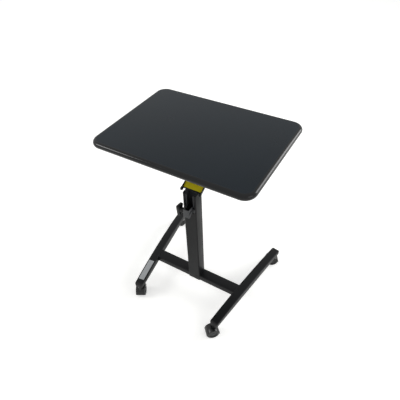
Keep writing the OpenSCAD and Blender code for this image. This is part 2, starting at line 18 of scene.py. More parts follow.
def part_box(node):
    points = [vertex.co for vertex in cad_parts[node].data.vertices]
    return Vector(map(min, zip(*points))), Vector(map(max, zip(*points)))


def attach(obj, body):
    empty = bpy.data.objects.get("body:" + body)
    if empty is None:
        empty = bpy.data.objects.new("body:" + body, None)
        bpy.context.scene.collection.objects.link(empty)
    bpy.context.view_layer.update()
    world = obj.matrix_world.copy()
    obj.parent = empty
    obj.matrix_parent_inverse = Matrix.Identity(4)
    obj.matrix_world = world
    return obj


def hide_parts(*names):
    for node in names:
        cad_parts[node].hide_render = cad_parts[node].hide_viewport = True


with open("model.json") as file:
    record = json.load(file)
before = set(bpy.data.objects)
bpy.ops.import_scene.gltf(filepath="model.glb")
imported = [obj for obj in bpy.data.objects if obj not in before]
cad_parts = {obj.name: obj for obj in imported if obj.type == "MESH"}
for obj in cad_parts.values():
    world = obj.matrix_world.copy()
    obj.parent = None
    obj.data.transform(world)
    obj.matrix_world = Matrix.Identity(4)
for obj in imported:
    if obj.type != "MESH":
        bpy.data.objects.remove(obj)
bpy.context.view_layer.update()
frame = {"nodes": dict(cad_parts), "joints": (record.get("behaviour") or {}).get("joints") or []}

scene = bpy.context.scene

# %% [markdown]
# ## Sizes
#
# Blender works in metres and the table was drawn in millimetres, so one factor turns one into the
# other. Places are read from the frame's boxes, so a piece can't drift from the solid that it dresses.

# %% Millimetres and boxes
MM = 0.001
WELD = 0.001 * MM  # points nearer than this are one point


def low(node):
    return Vector(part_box(node)[0])


def high(node):
    return Vector(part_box(node)[1])


def middle(node):
    return (low(node) + high(node)) / 2


joints = {joint["name"]: joint for joint in frame["joints"]}
corner_names = ("front_left", "front_right", "rear_left", "rear_right")
print("table top:", [round(v / MM) for v in high("edge_band") - low("edge_band")], "mm")

# %% [markdown]
# ## Colours and nodes
#
# A colour is written as the hex value that a screen shows, and one function turns it into the linear
# light that the shaders add up. Another small function adds a node, sets it up and links its inputs.

# %% Colour and node helpers
def linear(hex_colour):
    parts = [int(hex_colour[i:i + 2], 16) / 255 for i in (1, 3, 5)]
    return tuple(p / 12.92 if p <= 0.04045 else ((p + 0.055) / 1.055) ** 2.4 for p in parts) + (1.0,)


def add_node(tree, kind, settings=None, **inputs):
    made = tree.nodes.new(kind)
    for name, value in (settings or {}).items():
        setattr(made, name, value)
    for name, value in inputs.items():
        socket = made.inputs[int(name[1:])] if name[0] == "i" and name[1:].isdigit() else made.inputs[name]
        if isinstance(value, bpy.types.NodeSocket):
            tree.links.new(value, socket)
        else:
            socket.default_value = value
    return made


def new_finish(name):
    material = bpy.data.materials.new(name)
    material.use_nodes = True
    tree = material.node_tree
    tree.nodes.clear()
    output = add_node(tree, "ShaderNodeOutputMaterial")
    shader = add_node(tree, "ShaderNodeBsdfPrincipled")
    tree.links.new(shader.outputs["BSDF"], output.inputs["Surface"])
    return material, tree, shader


# %% [markdown]
# ## A skin for painted and moulded parts
#
# Powder coat, laminate and moulded plastic differ in grain, gloss and depth, but each is a colour that
# wanders a little, a roughness that wanders with it and a fine relief. So one function lays that skin,
# and each finish gives the size of its grain in millimetres. Noise counts features per metre here,
# because object coordinates are metres: a grain of 1 mm is a scale of 1000.

# %% The skin
def skin(tree, shader, dark, light, grain_mm, relief_mm, rough_low, rough_high, cloud_mm=60.0):
    place = add_node(tree, "ShaderNodeTexCoord").outputs["Object"]
    cloud = add_node(tree, "ShaderNodeTexNoise", Vector=place, Scale=1000 / cloud_mm, Detail=3.0)
    grain = add_node(tree, "ShaderNodeTexNoise", Vector=place, Scale=1000 / grain_mm, Detail=2.0)
    colour = add_node(tree, "ShaderNodeMix", {"data_type": "RGBA"},
                      Factor=cloud.outputs["Fac"], i6=linear(dark), i7=linear(light))
    rough = add_node(tree, "ShaderNodeMapRange", Value=cloud.outputs["Fac"])
    rough.inputs["From Min"].default_value = 0.3
    rough.inputs["From Max"].default_value = 0.7
    rough.inputs["To Min"].default_value = rough_low
    rough.inputs["To Max"].default_value = rough_high
    relief = add_node(tree, "ShaderNodeBump", Height=grain.outputs["Fac"], Strength=0.5,
                      Distance=relief_mm * MM)
    tree.links.new(colour.outputs[2], shader.inputs["Base Color"])
    tree.links.new(rough.outputs["Result"], shader.inputs["Roughness"])
    tree.links.new(relief.outputs["Normal"], shader.inputs["Normal"])


# %% [markdown]
# ## The finishes
#
# The steel is satin black powder coat: a baked polyester with a faint orange peel about 1.5 mm from
# crest to crest. Its gloss is low, so the specular level sits under the default.

# %% Powder coat
powder_coat, tree, shader = new_finish("black powder coat")
skin(tree, shader, "#101112", "#161718", grain_mm=1.5, relief_mm=0.04, rough_low=0.34, rough_high=0.44)
shader.inputs["Specular IOR Level"].default_value = 0.14

# The clamp bracket and the sliding channel are drawn in a lighter grey than the column.
# On the channel this grey is painted light: it stands for the light that falls into the column's slot.
grey_and_painted_light_coat, tree, shader = new_finish("grey coat with painted slot light")
skin(tree, shader, "#3a3b3d", "#444547", grain_mm=1.5, relief_mm=0.04, rough_low=0.42, rough_high=0.52)
shader.inputs["Specular IOR Level"].default_value = 0.25

# %% [markdown]
# The board is faced with black melamine laminate, pressed against a fine pearl plate. Its pits are
# about half a millimetre wide, which would vanish at this distance, so they are drawn at 1.2 mm.

# %% Laminate
laminate, tree, shader = new_finish("black melamine laminate")
skin(tree, shader, "#0e1419", "#131a21", grain_mm=1.2, relief_mm=0.02, rough_low=0.26, rough_high=0.34,
     cloud_mm=140.0)
shader.inputs["Specular IOR Level"].default_value = 0.17
shader.inputs["Specular Tint"].default_value = linear("#e6f6ff")

# %% [markdown]
# The edging is extruded black PVC. A die leaves it smoother than the board, so it catches a thin
# bright line along its crown.

# %% PVC edging
pvc, tree, shader = new_finish("black pvc edging")
skin(tree, shader, "#07080a", "#0b0d0f", grain_mm=6.0, relief_mm=0.01, rough_low=0.12, rough_high=0.18)
shader.inputs["Specular IOR Level"].default_value = 0.28

# %% [markdown]
# The knob, the caps and the casters are glass-filled nylon, moulded against a spark-eroded steel. The
# surface is even, with grain near a millimetre: dull on the knob, the caps and the wheels, and smoother
# on the hoods, which shine a little.

# %% Moulded nylon
black_nylon, tree, shader = new_finish("black moulded nylon")
skin(tree, shader, "#0f0f10", "#161617", grain_mm=0.9, relief_mm=0.03, rough_low=0.42, rough_high=0.55,
     cloud_mm=25.0)
shader.inputs["Specular IOR Level"].default_value = 0.25

caster_nylon, tree, shader = new_finish("caster nylon")
skin(tree, shader, "#0d0e0e", "#141515", grain_mm=0.9, relief_mm=0.03, rough_low=0.22, rough_high=0.30,
     cloud_mm=20.0)
shader.inputs["Specular IOR Level"].default_value = 0.35

# The wheels are a duller, greyer nylon than the hoods over them.
wheel_nylon, tree, shader = new_finish("wheel nylon")
skin(tree, shader, "#1b1d1c", "#252827", grain_mm=0.9, relief_mm=0.03, rough_low=0.40, rough_high=0.50,
     cloud_mm=20.0)
shader.inputs["Specular IOR Level"].default_value = 0.35

natural_nylon, tree, shader = new_finish("grey nylon")
skin(tree, shader, "#77797b", "#8a8c8e", grain_mm=0.9, relief_mm=0.03, rough_low=0.45, rough_high=0.55,
     cloud_mm=25.0)

# %% [markdown]
# Screws and stems are zinc-plated steel: a metal, so its colour is its reflection, dulled by fine
# brushing from the rolled sheet or bar. The axles and the lock's shaft and cam are blackened steel.

# %% Plated steel
def metal(name, dark, light, rough_low, rough_high):
    material, tree, shader = new_finish(name)
    skin(tree, shader, dark, light, grain_mm=0.7, relief_mm=0.01, rough_low=rough_low,
         rough_high=rough_high, cloud_mm=12.0)
    shader.inputs["Metallic"].default_value = 1.0
    return material


zinc = metal("zinc-plated steel", "#9fa3a6", "#b9bcbe", 0.28, 0.42)
black_oxide = metal("black-oxide steel", "#3a3b3d", "#4a4b4d", 0.35, 0.45)

# %% [markdown]
# Both labels are polyester film and stay bare. The head's is printed solid yellow, the leg's is
# vapour-coated silver with a brushed look along its length.

# %% Label film
yellow_film, tree, shader = new_finish("yellow polyester film")
skin(tree, shader, "#c8b916", "#d3c41e", grain_mm=3.0, relief_mm=0.01, rough_low=0.28, rough_high=0.36,
     cloud_mm=18.0)

silver_film, tree, shader = new_finish("silver polyester film")
place = add_node(tree, "ShaderNodeTexCoord").outputs["Object"]
stretch = add_node(tree, "ShaderNodeMapping", Vector=place, Scale=(1.0, 0.02, 1.0))
brush = add_node(tree, "ShaderNodeTexNoise", Vector=stretch.outputs["Vector"], Scale=1000 / 1.2,
                 Detail=2.0)
tone = add_node(tree, "ShaderNodeMix", {"data_type": "RGBA"}, Factor=brush.outputs["Fac"],
                i6=linear("#888b8d"), i7=linear("#a8aaac"))
relief = add_node(tree, "ShaderNodeBump", Height=brush.outputs["Fac"], Strength=0.3, Distance=0.02 * MM)
tree.links.new(tone.outputs[2], shader.inputs["Base Color"])
tree.links.new(relief.outputs["Normal"], shader.inputs["Normal"])
shader.inputs["Metallic"].default_value = 0.6
shader.inputs["Roughness"].default_value = 0.38

# %% [markdown]
# ## Making a piece
#
# Most parts of this table are a flat outline given a thickness: a plate, a bar, a leg. `prism` makes
# one from its outline, `soften` rounds its sharp edges as a press brake, a die or a mould does, and
# `keep` turns the result into an object that rides on its body and stands for its solids.

# %% Mesh helpers
def prism(bm, outline, start, end, place):
    rings = [[bm.verts.new(place(u, v, w)) for u, v in outline] for w in (start, end)]
    count = len(outline)
    bm.faces.new(rings[0][::-1])
    bm.faces.new(rings[1])
    for i in range(count):
        j = (i + 1) % count
        bm.faces.new((rings[0][i], rings[0][j], rings[1][j], rings[1][i]))
    bmesh.ops.recalc_face_normals(bm, faces=bm.faces)


def bridge(bm, a, b):
    """Joins one ring of points to the next."""
    for i in range(len(a)):
        j = (i + 1) % len(a)
        bm.faces.new((a[i], a[j], b[j], b[i]))


def walked(bm, rings):
    """Joins a row of rings and closes both ends."""
    for a, b in zip(rings, rings[1:]):
        bridge(bm, a, b)
    bm.faces.new(rings[0])
    bm.faces.new(rings[-1][::-1])
    bmesh.ops.recalc_face_normals(bm, faces=bm.faces)


def soften(bm, radius, segments=3, sharper_than=35.0, only=None):
    limit = math.radians(sharper_than)
    edges = [e for e in bm.edges if e.is_manifold and e.calc_face_angle() > limit
             and (only is None or only(e))]
    bmesh.ops.bevel(bm, geom=edges, offset=radius, segments=segments, profile=0.5,
                    affect="EDGES", clamp_overlap=True)


def keep(bm, name, body, finish, *nodes, smooth=30.0):
    mesh = bpy.data.meshes.new(name)
    bm.to_mesh(mesh)
    bm.free()
    return keep_mesh(mesh, name, body, finish, *nodes, smooth=smooth)


def keep_mesh(mesh, name, body, finish, *nodes, smooth=30.0):
    mesh.materials.clear()
    mesh.materials.append(finish)
    mesh.shade_smooth()
    mesh.set_sharp_from_angle(angle=math.radians(smooth))
    piece = bpy.data.objects.new(name.replace(" ", "_") + "_piece", mesh)
    scene.collection.objects.link(piece)
    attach(piece, body)
    if nodes:
        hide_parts(*nodes)
    return piece


def along_x(u, v, w):
    return Vector((w, u, v))


def along_z(u, v, w):
    return Vector((u, v, w))


def arc(cx, cy, r, start, end, steps):
    angles = [math.radians(start + (end - start) * i / steps) for i in range(steps + 1)]
    return [(cx + r * math.cos(a), cy + r * math.sin(a)) for a in angles]


def round_box(x0, y0, x1, y1, r, steps=8):
    return (arc(x1 - r, y0 + r, r, -90, 0, steps) + arc(x1 - r, y1 - r, r, 0, 90, steps)
            + arc(x0 + r, y1 - r, r, 90, 180, steps) + arc(x0 + r, y0 + r, r, 180, 270, steps))


def turned(bm, profile, steps, place):
    """Spins (radius, height) pairs into a closed solid; place sets each point."""
    turns = [2 * math.pi * i / steps for i in range(steps)]
    rings = []
    for r, h in profile:
        if r == 0:
            rings.append([bm.verts.new(place(0, 0, h))])
        else:
            rings.append([bm.verts.new(place(r * math.cos(t), r * math.sin(t), h)) for t in turns])
    for a, b in zip(rings, rings[1:]):
        for i in range(steps):
            j = (i + 1) % steps
            ring = [a[i % len(a)], a[j % len(a)], b[j % len(b)], b[i % len(b)]]
            bm.faces.new(list(dict.fromkeys(ring)))
    bmesh.ops.recalc_face_normals(bm, faces=bm.faces)


# %% [markdown]
# ## The edging
#
# On the real top the edging is one extruded strip, pushed into a groove and bent round the corners.
# A strip that follows a path is what Geometry Nodes do best: a rounded rectangle as the path and a
# half-round as the profile. The sizes are inputs of the tree, so the strip can be tried on any board.

# %% The edging's tree
def edging_tree():
    tree = bpy.data.node_groups.new("edging along a board", "GeometryNodeTree")
    for name, kind in (("Length", "NodeSocketFloat"), ("Depth", "NodeSocketFloat"),
                       ("Corner", "NodeSocketFloat"), ("Radius", "NodeSocketFloat"),
                       ("Place", "NodeSocketVector"), ("Finish", "NodeSocketMaterial")):
        tree.interface.new_socket(name, in_out="INPUT", socket_type=kind)
    tree.interface.new_socket("Geometry", in_out="OUTPUT", socket_type="NodeSocketGeometry")
    sizes = add_node(tree, "NodeGroupInput").outputs
    board = add_node(tree, "GeometryNodeCurvePrimitiveQuadrilateral", Width=sizes["Length"],
                     Height=sizes["Depth"])
    path = add_node(tree, "GeometryNodeFilletCurve", {"mode": "POLY"}, Curve=board.outputs["Curve"],
                    Count=16, Radius=sizes["Corner"])
    half = add_node(tree, "GeometryNodeCurveArc", {"mode": "RADIUS"}, Resolution=25, Radius=sizes["Radius"])
    half.inputs["Start Angle"].default_value = -math.pi / 2
    half.inputs["Sweep Angle"].default_value = math.pi
    closed = add_node(tree, "GeometryNodeSetSplineCyclic", Geometry=half.outputs["Curve"], Cyclic=True)
    strip = add_node(tree, "GeometryNodeCurveToMesh", Curve=path.outputs["Curve"])
    tree.links.new(closed.outputs[0], strip.inputs["Profile Curve"])
    moved = add_node(tree, "GeometryNodeTransform", Geometry=strip.outputs["Mesh"],
                     Translation=sizes["Place"])
    real = add_node(tree, "GeometryNodeRealizeInstances", Geometry=moved.outputs["Geometry"])
    done = add_node(tree, "GeometryNodeSetMaterial", Geometry=real.outputs["Geometry"],
                    Material=sizes["Finish"])
    output = add_node(tree, "NodeGroupOutput")
    tree.links.new(done.outputs["Geometry"], output.inputs["Geometry"])
    return tree


def grown(tree, values):
    """Runs a tree on an empty mesh and returns the plain mesh that it makes."""
    seed = bpy.data.objects.new("seed", bpy.data.meshes.new("seed"))
    scene.collection.objects.link(seed)
    modifier = seed.modifiers.new("grow", "NODES")
    modifier.node_group = tree
    for item in tree.interface.items_tree:
        if item.item_type == "SOCKET" and item.in_out == "INPUT" and item.name in values:
            modifier[item.identifier] = values[item.name]
    graph = bpy.context.evaluated_depsgraph_get()
    mesh = bpy.data.meshes.new_from_object(seed.evaluated_get(graph))
    bpy.data.objects.remove(seed)
    return mesh


band_low, band_high = low("edge_band"), high("edge_band")
band_r = (band_high.z - band_low.z) / 2
board_low, board_high = low("table_core"), high("table_core")
CORNER = 42 * MM
strip = grown(edging_tree(), {
    "Length": board_high.x - board_low.x, "Depth": board_high.y - board_low.y, "Corner": CORNER - band_r,
    "Radius": band_r, "Place": middle("edge_band"), "Finish": pvc})
shape = bmesh.new()
shape.from_mesh(strip)
bmesh.ops.remove_doubles(shape, verts=shape.verts, dist=WELD)
bmesh.ops.recalc_face_normals(shape, faces=shape.faces)
edging = keep(shape, "edging", "carriage", pvc, "edge_band")
print("edging:", [round(v / MM, 1) for v in edging.dimensions], "mm,", len(edging.data.polygons), "faces")

# %% [markdown]
# ## Screws under the top
#
# Six pan-head screws hold the plate. They repeat, so one screw is drawn and Geometry Nodes set a copy
# on each place. The head has a domed rim and a shallow round recess in its middle.

# %% The screws
screw_low, screw_high = low("plate_screws"), high("plate_screws")
HEAD_R, HEAD_H, SHANK_R = 4.5 * MM, 2.6 * MM, 2 * MM


def one_screw():
    bm = bmesh.new()
    length = screw_high.z - screw_low.z
    rim = [(0, length), (SHANK_R, length), (SHANK_R, HEAD_H), (HEAD_R, HEAD_H), (HEAD_R, HEAD_H * 0.45),
           (HEAD_R * 0.86, HEAD_H * 0.12), (HEAD_R * 0.6, 0), (HEAD_R * 0.3, HEAD_H * 0.05),
           (0, HEAD_H * 0.45)]
    turned(bm, rim, 24, along_z)
    mesh = bpy.data.meshes.new("one screw")
    bm.to_mesh(mesh)
    bm.free()
    made = bpy.data.objects.new("one screw", mesh)
    scene.collection.objects.link(made)
    return made


def screws_tree(across, deep):
    tree = bpy.data.node_groups.new("screws on a grid", "GeometryNodeTree")
    for name, kind in (("Span X", "NodeSocketFloat"), ("Span Y", "NodeSocketFloat"),
                       ("Place", "NodeSocketVector"), ("Screw", "NodeSocketObject"),
                       ("Finish", "NodeSocketMaterial")):
        tree.interface.new_socket(name, in_out="INPUT", socket_type=kind)
    tree.interface.new_socket("Geometry", in_out="OUTPUT", socket_type="NodeSocketGeometry")
    sizes = add_node(tree, "NodeGroupInput").outputs
    grid = add_node(tree, "GeometryNodeMeshGrid")
    tree.links.new(sizes["Span X"], grid.inputs["Size X"])
    tree.links.new(sizes["Span Y"], grid.inputs["Size Y"])
    grid.inputs["Vertices X"].default_value = across
    grid.inputs["Vertices Y"].default_value = deep
    moved = add_node(tree, "GeometryNodeTransform", Geometry=grid.outputs["Mesh"],
                     Translation=sizes["Place"])
    screw = add_node(tree, "GeometryNodeObjectInfo", Object=sizes["Screw"])
    copies = add_node(tree, "GeometryNodeInstanceOnPoints", Points=moved.outputs["Geometry"],
                      Instance=screw.outputs["Geometry"])
    real = add_node(tree, "GeometryNodeRealizeInstances", Geometry=copies.outputs["Instances"])
    done = add_node(tree, "GeometryNodeSetMaterial", Geometry=real.outputs["Geometry"],
                    Material=sizes["Finish"])
    output = add_node(tree, "NodeGroupOutput")
    tree.links.new(done.outputs["Geometry"], output.inputs["Geometry"])
    return tree


pattern = one_screw()
centre = middle("plate_screws")
span = screw_high - screw_low
screws = grown(screws_tree(2, 3), {
    "Span X": span.x - 2 * HEAD_R, "Span Y": span.y - 2 * HEAD_R,
    "Place": (centre.x, centre.y, screw_low.z), "Screw": pattern, "Finish": zinc})
bpy.data.objects.remove(pattern)
keep_mesh(screws, "screws", "carriage", zinc, "plate_screws")
print("screws:", len(screws.polygons), "faces")

# %% [markdown]
# ## Plates
#
# The mounting plate, the web, the sides and the label plate are cut from 3 mm sheet. Cut sheet isn't
# razor sharp after coating, so each gets an edge of about half a millimetre, which draws the thin
# light line that tells the eye it is metal.

# %% Head plates
SHEET_EDGE, PLATE_CORNER = 0.6 * MM, 10 * MM
a, b = low("mounting_plate"), high("mounting_plate")
bm = bmesh.new()
prism(bm, round_box(a.x, a.y, b.x, b.y, PLATE_CORNER), a.z, b.z, along_z)
soften(bm, SHEET_EDGE, 2)
keep(bm, "mounting plate", "carriage", powder_coat, "mounting_plate")

# The label plate has a round tab at each end, which lies against the side plate.
plate_low, plate_high = low("head_plate"), high("head_plate")
web_low, web_high = low("head_web"), high("head_web")
bolt_mid = middle("head_bolts")
SHEET = web_high.y - web_low.y
LUG, RUN = 7.5 * MM, 31.5 * MM
slope = math.radians(27)
edge_y, edge_z = web_low.y - RUN, plate_high.z - RUN * math.tan(slope)
bm = bmesh.new()
prism(bm, [(edge_y, edge_z), (web_low.y, plate_high.z),
           (web_low.y, plate_high.z - SHEET / math.cos(slope)),
           (edge_y + SHEET * math.sin(slope), edge_z - SHEET * math.cos(slope))],
      plate_low.x, plate_high.x, along_x)
for x in (plate_low.x, plate_high.x - SHEET):
    prism(bm, arc(bolt_mid.y, bolt_mid.z, LUG, 0, 345, 23), x, x + SHEET, along_x)
soften(bm, SHEET_EDGE, 2)
keep(bm, "label plate", "carriage", powder_coat, "head_plate")

a, b = web_low, web_high
bm = bmesh.new()
prism(bm, round_box(a.x, a.y, b.x, b.y, 0.3 * MM, 2), a.z, b.z, along_z)
keep(bm, "head web", "carriage", powder_coat, "head_web")
print("sheet:", round(SHEET / MM, 2), "mm")

# %% [markdown]
# Each side plate ends in a round lug at its front corner, where a bolt joins it to the label plate's
# tab, and it widens toward the top, where the load comes in.

# %% Side plates
foot_y = web_low.y + 12 * MM
for side in ("left", "right"):
    a, b = low("head_side_" + side), high("head_side_" + side)
    outline = (arc(bolt_mid.y, bolt_mid.z, LUG, 70, 270, 16)
               + [(foot_y, plate_high.z), (b.y, b.z), (web_low.y, b.z), (web_low.y, plate_high.z + SHEET)])
    bm = bmesh.new()
    prism(bm, outline, a.x, b.x, along_x)
    soften(bm, SHEET_EDGE, 2)
    keep(bm, "side plate " + side, "carriage", powder_coat, "head_side_" + side)

# %% [markdown]
# ## The head bolts
#
# A short bolt goes through each lug into the tab behind it. Its head is a low dome, turned on a lathe,
# so a spun profile gives it, once for each side.

# %% Head bolts
a, b = low("head_bolts"), high("head_bolts")
head_r = (b.z - a.z) / 2
bolt_r, head_h, point = 4 * MM, 2 * MM, 0.5 * MM
tip = high("head_side_right").x - 2 * SHEET - 1 * MM
bm = bmesh.new()
for side in (-1, 1):
    turned(bm, [(0, b.x), (head_r * 0.55, b.x - head_h * 0.08), (head_r * 0.88, b.x - head_h * 0.35),
                (head_r, b.x - head_h * 0.7), (head_r, b.x - head_h), (bolt_r, b.x - head_h),
                (bolt_r, tip + point), (bolt_r - point, tip), (0, tip)], 32,
           lambda x, y, h: Vector((side * h, bolt_mid.y + x, bolt_mid.z + y)))
keep(bm, "head bolts", "carriage", powder_coat, "head_bolts")

# %% [markdown]
# ## Labels
#
# A label is film 0.3 mm thick with die-cut corners. The head's lies on the sloping plate; the leg's
# follows the arch of the leg, so it is cut into short steps along its length.

# %% Head label
FILM, FILM_CORNER = 0.3 * MM, 2 * MM
a, b = low("head_label"), high("head_label")
label_len = (b.y - a.y) / math.cos(slope)
up = Vector((0, math.cos(slope), math.sin(slope)))
out = Vector((0, -math.sin(slope), math.cos(slope)))
start = Vector((0, a.y + FILM * math.sin(slope), a.z))
bm = bmesh.new()
prism(bm, round_box(a.x, 0, b.x, label_len - FILM, FILM_CORNER, 4), 0, FILM,
      lambda u, v, w: start + Vector((u, 0, 0)) + up * v + out * w)
keep(bm, "head label", "carriage", yellow_film, "head_label")
print("head label:", round((b.x - a.x) / MM), "x", round(label_len / MM), "mm")

# %% [markdown]
# ## The column
#
# The column is rectangular tube with soft corners and an open slot in the upper part of its front wall.
# Its front wall also runs down over the crossbar as a lip. One outline of the C-shaped wall is drawn from
# above and stacked in three rings, and below the slot a strip closes the C.

# %% Column
def walls(x0, y0, x1, y1, r, wall, gap, steps=6):
    """A tube's wall from above as one outline, open by a gap in its -Y side."""
    inside = max(r - wall, 0.2 * MM)
    outer = round_box(x0, y0, x1, y1, r, steps)
    inner = round_box(x0 + wall, y0 + wall, x1 - wall, y1 - wall, inside, steps)
    left, right = -gap / 2, gap / 2
    return [(right, y0)] + outer + [(left, y0), (left, y0 + wall)] + inner[::-1] + [(right, y0 + wall)]


WALL, SLOT, COLUMN_R = 2 * MM, 38 * MM, 4 * MM
column_low, column_high = low("outer_column"), high("outer_column")
bar_low, bar_high = low("crossbar"), high("crossbar")
slot_floor = low("brake_shoe").z - 5 * MM
outline = walls(column_low.x, column_low.y, column_high.x, column_high.y, COLUMN_R, WALL, SLOT)
bm = bmesh.new()
rings = [[bm.verts.new((x, y, z)) for x, y in outline] for z in (bar_high.z, slot_floor, column_high.z)]
count = len(outline)
left_front = next(i for i, p in enumerate(outline) if abs(p[0] + SLOT / 2) < 1e-9)
open_edges = {left_front, count - 1}
for level in (0, 1):
    for i in range(count):
        if level == 0 and i in open_edges:
            continue
        j = (i + 1) % count
        bm.faces.new((rings[level][i], rings[level][j], rings[level + 1][j], rings[level + 1][i]))
a, b, c, d = 0, left_front, left_front + 1, count - 1
bm.faces.new((rings[0][b], rings[0][a], rings[1][a], rings[1][b]))
bm.faces.new((rings[0][d], rings[0][c], rings[1][c], rings[1][d]))
bm.faces.new((rings[1][a], rings[1][d], rings[1][c], rings[1][b]))
bm.faces.new((rings[0][a], rings[0][b], rings[0][c], rings[0][d]))
bm.faces.new(rings[0][::-1])
bm.faces.new(rings[2])
lip = arc(column_high.x - COLUMN_R, column_low.y + COLUMN_R, COLUMN_R, -90, -30, 6)
lip = [(-x, y) for x, y in lip][::-1] + lip
prism(bm, lip, column_low.z, bar_high.z, along_z)
bmesh.ops.recalc_face_normals(bm, faces=bm.faces)
soften(bm, 0.5 * MM, 2, sharper_than=60,
       only=lambda e: min(v.co.z for v in e.verts) > slot_floor - 0.01 * MM)
keep(bm, "column", "base", powder_coat, "outer_column")
print("column:", round((column_high.x - column_low.x) / MM), "x", round((column_high.y - column_low.y) / MM),
      "mm, slot from", round(slot_floor / MM), "mm up")

# %% [markdown]
# ## The sliding channel
#
# The channel inside is rolled sheet, open to the front. Its top is cut to the slope of the label plate
# that it is welded to, so its top points drop toward the front.

# %% Channel
CHANNEL_R, CHANNEL_GAP = 3 * MM, 26 * MM
a, b = low("inner_column"), high("inner_column")
bm = bmesh.new()
prism(bm, walls(a.x, a.y, b.x, b.y, CHANNEL_R, WALL, CHANNEL_GAP), a.z, b.z, along_z)
for v in bm.verts:
    if v.co.z > b.z - 0.01 * MM:
        v.co.z = b.z - (b.y - v.co.y) * math.tan(slope)
# The channel's grey is painted light: it stands for the light that reaches in through the slot.
keep(bm, "channel", "carriage", grey_and_painted_light_coat, "inner_column")

# %% [markdown]
# ## The clamp bracket
#
# The bracket is one strip of sheet bent to a U, with a sloping lower edge. A press brake leaves a
# round outside corner about as wide as the sheet is thick. The shaft's bore goes through both cheeks,
# so it is cut with a Boolean, which is the plain way to drill a finished mesh.

# %% Drilling
def solid_object(bm, name):
    mesh = bpy.data.meshes.new(name)
    bm.to_mesh(mesh)
    bm.free()
    made = bpy.data.objects.new(name, mesh)
    scene.collection.objects.link(made)
    return made


def drilled(bm, cutter):
    work, tool = solid_object(bm, "work"), solid_object(cutter, "cutter")
    modifier = work.modifiers.new("drill", "BOOLEAN")
    modifier.operation = "DIFFERENCE"
    modifier.solver = "EXACT"
    modifier.object = tool
    graph = bpy.context.evaluated_depsgraph_get()
    mesh = bpy.data.meshes.new_from_object(work.evaluated_get(graph))
    result = bmesh.new()
    result.from_mesh(mesh)
    for spare in (work, tool):
        bpy.data.objects.remove(spare)
    return result


# %% Bracket
bracket_low, bracket_high = low("clamp_bracket"), high("clamp_bracket")
shaft_mid = middle("lock_shaft")
cheek, foot, foot_half, foot_corner = 13 * MM, 11 * MM, 8 * MM, 1.5 * MM
SHEET_T, bend = 2.5 * MM, 3.2 * MM
bore_r, bore_half = 4.1 * MM, 20 * MM
front, back = bracket_low.y, bracket_high.y
inner_bend = bend - SHEET_T
outline = (arc(-cheek + bend, front + bend, bend, 180, 270, 6)
           + arc(cheek - bend, front + bend, bend, 270, 360, 6)
           + [(cheek, back), (cheek - SHEET_T, back)]
           + arc(cheek - bend, front + bend, inner_bend, 360, 270, 6)
           + arc(-cheek + bend, front + bend, inner_bend, 270, 180, 6)
           + [(-cheek + SHEET_T, back), (-cheek, back)])
heel_z = shaft_mid.z - 9 * MM
toe_y = front + 2 * SHEET_T
bm = bmesh.new()
prism(bm, outline, bracket_low.z, bracket_high.z, along_z)
bmesh.ops.bisect_plane(bm, geom=bm.verts[:] + bm.edges[:] + bm.faces[:], plane_co=(0, toe_y, 0),
                       plane_no=(0, 1, 0))
for v in bm.verts:
    if v.co.z < bracket_low.z + 0.01 * MM and v.co.y > toe_y:
        v.co.z = bracket_low.z + (v.co.y - toe_y) / (back - toe_y) * (heel_z - bracket_low.z)
for side in (-1, 1):
    x0, x1 = sorted((side * cheek, side * (cheek + foot)))
    prism(bm, round_box(x0, shaft_mid.z - foot_half, x1, shaft_mid.z + foot_half, foot_corner, 4),
          back - SHEET_T, back, lambda u, v, w: Vector((u, w, v)))
bore = bmesh.new()
turned(bore, [(0, -bore_half), (bore_r, -bore_half), (bore_r, bore_half), (0, bore_half)], 32,
       lambda x, y, h: Vector((h, shaft_mid.y + x, shaft_mid.z + y)))
bracket = drilled(bm, bore)
keep(bracket, "clamp bracket", "base", grey_and_painted_light_coat, "clamp_bracket", smooth=35)
print("bracket:", round((bracket_high.z - bracket_low.z) / MM), "mm high")

# %% [markdown]
# ## The wing knob
#
# The knob is one moulding: a tapered wing on a round hub. Fingers wrap round it, so all its edges are
# large rounds. The wing's outline is extruded and its rims are bevelled in six steps, and the hub is
# turned.

# %% Wing knob
hub_end = high("lock_knob").x
column_side = column_low.x - 1 * MM
WING_T, wing_r = 14 * MM, 6 * MM
hub_r, hub_root = 10 * MM, column_side - 4 * MM
top_half, wing_foot = 17 * MM - wing_r, 8 * MM - wing_r
rise, length = 21 * MM, 50 * MM
lean = math.radians(-8)


def on_wing(u, v, w):
    y = u * math.cos(lean) - v * math.sin(lean)
    z = u * math.sin(lean) + v * math.cos(lean)
    return Vector((w, shaft_mid.y + y, shaft_mid.z + z))


taper = math.degrees(math.atan((top_half - wing_foot) / (length - 2 * wing_r)))
foot_v = rise - length + wing_r
outline = (arc(top_half, rise - wing_r, wing_r, -taper, 90, 8)
           + arc(-top_half, rise - wing_r, wing_r, 90, 180 + taper, 8)
           + arc(-wing_foot, foot_v, wing_r, 180 + taper, 270, 6)
           + arc(wing_foot, foot_v, wing_r, 270, 360 - taper, 6))
bm = bmesh.new()
prism(bm, outline, column_side - WING_T, column_side, on_wing)
soften(bm, 4.5 * MM, 6, sharper_than=60)
turned(bm, [(0, hub_root), (hub_r, hub_root), (hub_r, hub_end - 1 * MM),
            (hub_r - 0.3 * MM, hub_end - 0.3 * MM), (hub_r - 1 * MM, hub_end), (0, hub_end)], 40,
       lambda x, y, h: Vector((h, shaft_mid.y + x, shaft_mid.z + y)))
bmesh.ops.recalc_face_normals(bm, faces=bm.faces)
keep(bm, "wing knob", "lock", black_nylon, "lock_knob", smooth=40)

# %% [markdown]
# ## The crossbar
#
# The crossbar is welded tube. Its corners have the round of a rolled tube, which catches one thin
# line of light along the front. Both ends are cut to the angle of the legs.

# %% Crossbar
SPLAY = math.radians(8.5)


def tube_end(y, side):
    return side * (bar_high.x - (bar_high.y - y) * math.tan(SPLAY))


